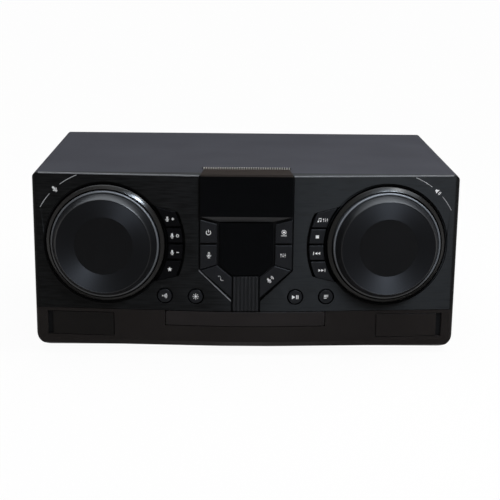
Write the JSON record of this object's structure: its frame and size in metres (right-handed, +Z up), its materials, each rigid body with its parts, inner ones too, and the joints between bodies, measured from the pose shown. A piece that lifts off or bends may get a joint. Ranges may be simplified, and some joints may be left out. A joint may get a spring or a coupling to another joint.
{
  "type": "mini hi-fi system",
  "caption": "Mini hi-fi main unit: wide box with a shallow V front, two large dished knobs, a centre console of keys under a display, a disc tray and hinged port doors.",
  "frame": {"origin": "floor level, under the middle of the part's bounding box", "axes": "+X to the right seen from the front, +Y to the rear, +Z up"},
  "size_m": [0.45, 0.3138, 0.2004],
  "materials": {
    "charcoal_paint": "matte textured paint",
    "zinc_sheet": "zinc-plated sheet",
    "brushed_dark": "dark moulding with fine brushed lines, semi-gloss",
    "satin_dark": "satin dark plastic",
    "gloss_black": "high gloss",
    "grey_satin": "satin",
    "matte_black": "matte moulding",
    "spun_metal": "dark anodised, spun in circles",
    "key_satin": "satin",
    "white_plastic": "natural acetal",
    "steel": "plain steel",
    "black_rubber": "matte rubber",
    "board_green": "circuit board lacquer",
    "board_black": "circuit board with black lacquer",
    "bare_aluminium": "extruded, bare",
    "transformer_iron": "varnished core"
  },
  "bodies": {
    "case": {"base_pan": "zinc_sheet", "centre_window": "gloss_black", "clamp_bridge": "steel", "console_frame": "matte_black", "display_crown": "gloss_black", "display_lip": "grey_satin", "display_module": "matte_black", "display_window": "gloss_black", "feet": "black_rubber", "front_boards": "board_black", "front_fascia": "brushed_dark", "front_skirt": "satin_dark", "heat_sink": "bare_aluminium", "knob_bezels": "gloss_black", "loader_frame": "matte_black", "main_board": "board_green", "port_blocks": "matte_black", "power_transformer": "transformer_iron", "rear_panel": "charcoal_paint", "rear_sockets": "matte_black", "rib_band": "satin_dark", "spindle_motor": "steel", "top_cover": "charcoal_paint"},
    "mic_knob": {"mic_knob": "spun_metal"},
    "main_knob": {"main_knob": "spun_metal"},
    "tray": {"disc_tray": "matte_black", "tray_door": "satin_dark"},
    "tray_gear": {"tray_gear": "white_plastic"},
    "turntable": {"turntable": "matte_black"},
    "pickup_sled": {"pickup_sled": "matte_black"},
    "left_port_door": {"left_port_door": "satin_dark"},
    "right_port_door": {"right_port_door": "satin_dark"},
    "bass_key": {"bass_key": "key_satin"},
    "function_key": {"function_key": "key_satin"},
    "left_key_1": {"left_key_1": "key_satin"},
    "left_key_2": {"left_key_2": "key_satin"},
    "left_key_3": {"left_key_3": "key_satin"},
    "left_key_4": {"left_key_4": "key_satin"},
    "light_key": {"light_key": "key_satin"},
    "mic_key": {"mic_key": "key_satin"},
    "play_key": {"play_key": "key_satin"},
    "power_key": {"power_key": "key_satin"},
    "record_key": {"record_key": "key_satin"},
    "right_key_1": {"right_key_1": "key_satin"},
    "right_key_2": {"right_key_2": "key_satin"},
    "right_key_3": {"right_key_3": "key_satin"},
    "right_key_4": {"right_key_4": "key_satin"},
    "tone_key": {"tone_key": "key_satin"},
    "vocal_key": {"vocal_key": "key_satin"},
    "wireless_key": {"wireless_key": "key_satin"}
  },
  "joints": [
    {"name": "mic_knob_turn", "type": "hinge", "parent": "case", "child": "mic_knob", "pos_m": [-0.14824, -0.13647, 0.1212], "axis": [-0.0698, -0.9976, 0], "continuous": true},
    {"name": "main_knob_turn", "type": "hinge", "parent": "case", "child": "main_knob", "pos_m": [0.14824, -0.13647, 0.1212], "axis": [0.0698, -0.9976, 0], "continuous": true},
    {"name": "turntable_spin", "type": "hinge", "parent": "case", "child": "turntable", "pos_m": [0, -0.0691, 0.0205], "axis": [0, 0, 1], "continuous": true},
    {"name": "bass_key_press", "type": "slide", "parent": "case", "child": "bass_key", "axis": [0, 1, 0], "range_m": [0, 0.0008], "stiffness_N_per_m": 600, "springref_m": -0.001},
    {"name": "function_key_press", "type": "slide", "parent": "case", "child": "function_key", "axis": [-0.0698, 0.9976, 0], "range_m": [0, 0.0008], "stiffness_N_per_m": 600, "springref_m": -0.001},
    {"name": "left_key_1_press", "type": "slide", "parent": "case", "child": "left_key_1", "axis": [0.0698, 0.9976, 0], "range_m": [0, 0.0008], "stiffness_N_per_m": 600, "springref_m": -0.001},
    {"name": "left_key_2_press", "type": "slide", "parent": "case", "child": "left_key_2", "axis": [0.0698, 0.9976, 0], "range_m": [0, 0.0008], "stiffness_N_per_m": 600, "springref_m": -0.001},
    {"name": "left_key_3_press", "type": "slide", "parent": "case", "child": "left_key_3", "axis": [0.0698, 0.9976, 0], "range_m": [0, 0.0008], "stiffness_N_per_m": 600, "springref_m": -0.001},
    {"name": "left_key_4_press", "type": "slide", "parent": "case", "child": "left_key_4", "axis": [0.0698, 0.9976, 0], "range_m": [0, 0.0008], "stiffness_N_per_m": 600, "springref_m": -0.001},
    {"name": "light_key_press", "type": "slide", "parent": "case", "child": "light_key", "axis": [0.0698, 0.9976, 0], "range_m": [0, 0.0008], "stiffness_N_per_m": 600, "springref_m": -0.001},
    {"name": "mic_key_press", "type": "slide", "parent": "case", "child": "mic_key", "axis": [0, 1, 0], "range_m": [0, 0.0008], "stiffness_N_per_m": 600, "springref_m": -0.001},
    {"name": "play_key_press", "type": "slide", "parent": "case", "child": "play_key", "axis": [-0.0698, 0.9976, 0], "range_m": [0, 0.0008], "stiffness_N_per_m": 600, "springref_m": -0.001},
    {"name": "power_key_press", "type": "slide", "parent": "case", "child": "power_key", "axis": [0, 1, 0], "range_m": [0, 0.0008], "stiffness_N_per_m": 600, "springref_m": -0.001},
    {"name": "record_key_press", "type": "slide", "parent": "case", "child": "record_key", "axis": [0, 1, 0], "range_m": [0, 0.0008], "stiffness_N_per_m": 600, "springref_m": -0.001},
    {"name": "right_key_1_press", "type": "slide", "parent": "case", "child": "right_key_1", "axis": [-0.0698, 0.9976, 0], "range_m": [0, 0.0008], "stiffness_N_per_m": 600, "springref_m": -0.001},
    {"name": "right_key_2_press", "type": "slide", "parent": "case", "child": "right_key_2", "axis": [-0.0698, 0.9976, 0], "range_m": [0, 0.0008], "stiffness_N_per_m": 600, "springref_m": -0.001},
    {"name": "right_key_3_press", "type": "slide", "parent": "case", "child": "right_key_3", "axis": [-0.0698, 0.9976, 0], "range_m": [0, 0.0008], "stiffness_N_per_m": 600, "springref_m": -0.001},
    {"name": "right_key_4_press", "type": "slide", "parent": "case", "child": "right_key_4", "axis": [-0.0698, 0.9976, 0], "range_m": [0, 0.0008], "stiffness_N_per_m": 600, "springref_m": -0.001},
    {"name": "tone_key_press", "type": "slide", "parent": "case", "child": "tone_key", "axis": [0, 1, 0], "range_m": [0, 0.0008], "stiffness_N_per_m": 600, "springref_m": -0.001},
    {"name": "vocal_key_press", "type": "slide", "parent": "case", "child": "vocal_key", "axis": [0, 1, 0], "range_m": [0, 0.0008], "stiffness_N_per_m": 600, "springref_m": -0.001},
    {"name": "wireless_key_press", "type": "slide", "parent": "case", "child": "wireless_key", "axis": [0.0698, 0.9976, 0], "range_m": [0, 0.0008], "stiffness_N_per_m": 600, "springref_m": -0.001},
    {"name": "tray_slide", "type": "slide", "parent": "case", "child": "tray", "axis": [0, -1, 0], "range_m": [0, 0.13]},
    {"name": "tray_gear_turn", "type": "hinge", "parent": "case", "child": "tray_gear", "pos_m": [0.0455, -0.1171, 0.036], "axis": [0, 0, 1], "range_deg": [-533.03, 1]},
    {"name": "sled_travel", "type": "slide", "parent": "case", "child": "pickup_sled", "axis": [0, 1, 0], "range_m": [0, 0.034]},
    {"name": "left_port_door_swing", "type": "hinge", "parent": "case", "child": "left_port_door", "pos_m": [-0.14197, -0.1357, 0.032], "axis": [0, 0, 1], "range_deg": [0, 95]},
    {"name": "right_port_door_swing", "type": "hinge", "parent": "case", "child": "right_port_door", "pos_m": [0.14197, -0.1357, 0.032], "axis": [0, 0, -1], "range_deg": [0, 95]}
  ],
  "couplings": [
    {"joint": "tray_gear_turn", "follows": "tray_slide", "rad_per_m": -71.429}
  ]
}
